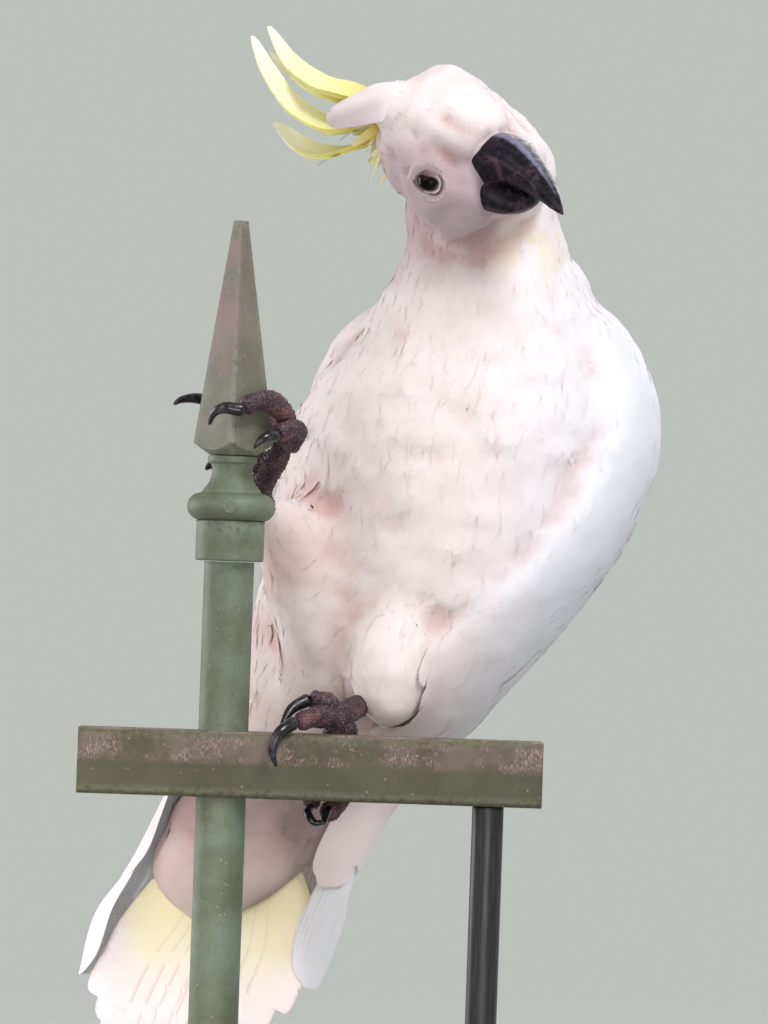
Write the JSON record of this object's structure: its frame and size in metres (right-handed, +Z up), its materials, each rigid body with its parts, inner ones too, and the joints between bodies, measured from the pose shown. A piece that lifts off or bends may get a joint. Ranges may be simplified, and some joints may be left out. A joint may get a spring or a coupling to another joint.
{
  "type": "sulphur-crested cockatoo model",
  "caption": "Life-size white cockatoo with a raised yellow crest, gripping a cut length of steel fence rail and picket that two rods hold above a flat stand.",
  "frame": {"origin": "middle of the underside of the stand's base plate", "axes": "+Z up, +X along the fence rail towards the bird's left, -Y the side of the fence that the breast faces"},
  "size_m": [0.2274, 0.2243, 0.434],
  "materials": {
    "plumage_white": "soft white contour and flight feathers",
    "plumage_crest": "sulphur-yellow crest feathers",
    "bill": "smooth horn, worn to a satin sheen",
    "eye": "wet, glossy eye",
    "foot_skin": "dry granular scales",
    "claw": "smooth dark horn",
    "fence_paint": "olive paint, scratched and worn at the edges",
    "stand_board": "black satin lacquer",
    "stand_rod": "black satin powder coat"
  },
  "bodies": {
    "root": {"head": "plumage_white", "neck": "plumage_white", "trunk": "plumage_white", "wing_left": "plumage_white", "wing_right": "plumage_white", "tail": "plumage_white", "thigh_left": "plumage_white", "thigh_right": "plumage_white", "crown_lock": "plumage_white", "crest_1": "plumage_crest", "crest_2": "plumage_crest", "crest_3": "plumage_crest", "crest_4": "plumage_crest", "crest_5": "plumage_crest", "bill_upper": "bill", "bill_lower": "bill", "eye_left": "eye", "eye_right": "eye", "tarsus_left": "foot_skin", "tarsus_right": "foot_skin", "toe_left_inner": "foot_skin", "toe_left_outer": "foot_skin", "toe_left_hind_outer": "foot_skin", "toe_left_hind_inner": "foot_skin", "toe_right_inner": "foot_skin", "toe_right_outer": "foot_skin", "toe_right_hind_outer": "foot_skin", "toe_right_hind_inner": "foot_skin", "claw_left_inner": "claw", "claw_left_outer": "claw", "claw_left_hind_outer": "claw", "claw_left_hind_inner": "claw", "claw_right_inner": "claw", "claw_right_outer": "claw", "claw_right_hind_outer": "claw", "claw_right_hind_inner": "claw", "perch_rail": "fence_paint", "perch_picket": "fence_paint", "perch_collar": "fence_paint", "perch_spear": "fence_paint", "stand_base": "stand_board", "stand_rod_1": "stand_rod", "stand_rod_2": "stand_rod"}
  },
  "joints": []
}
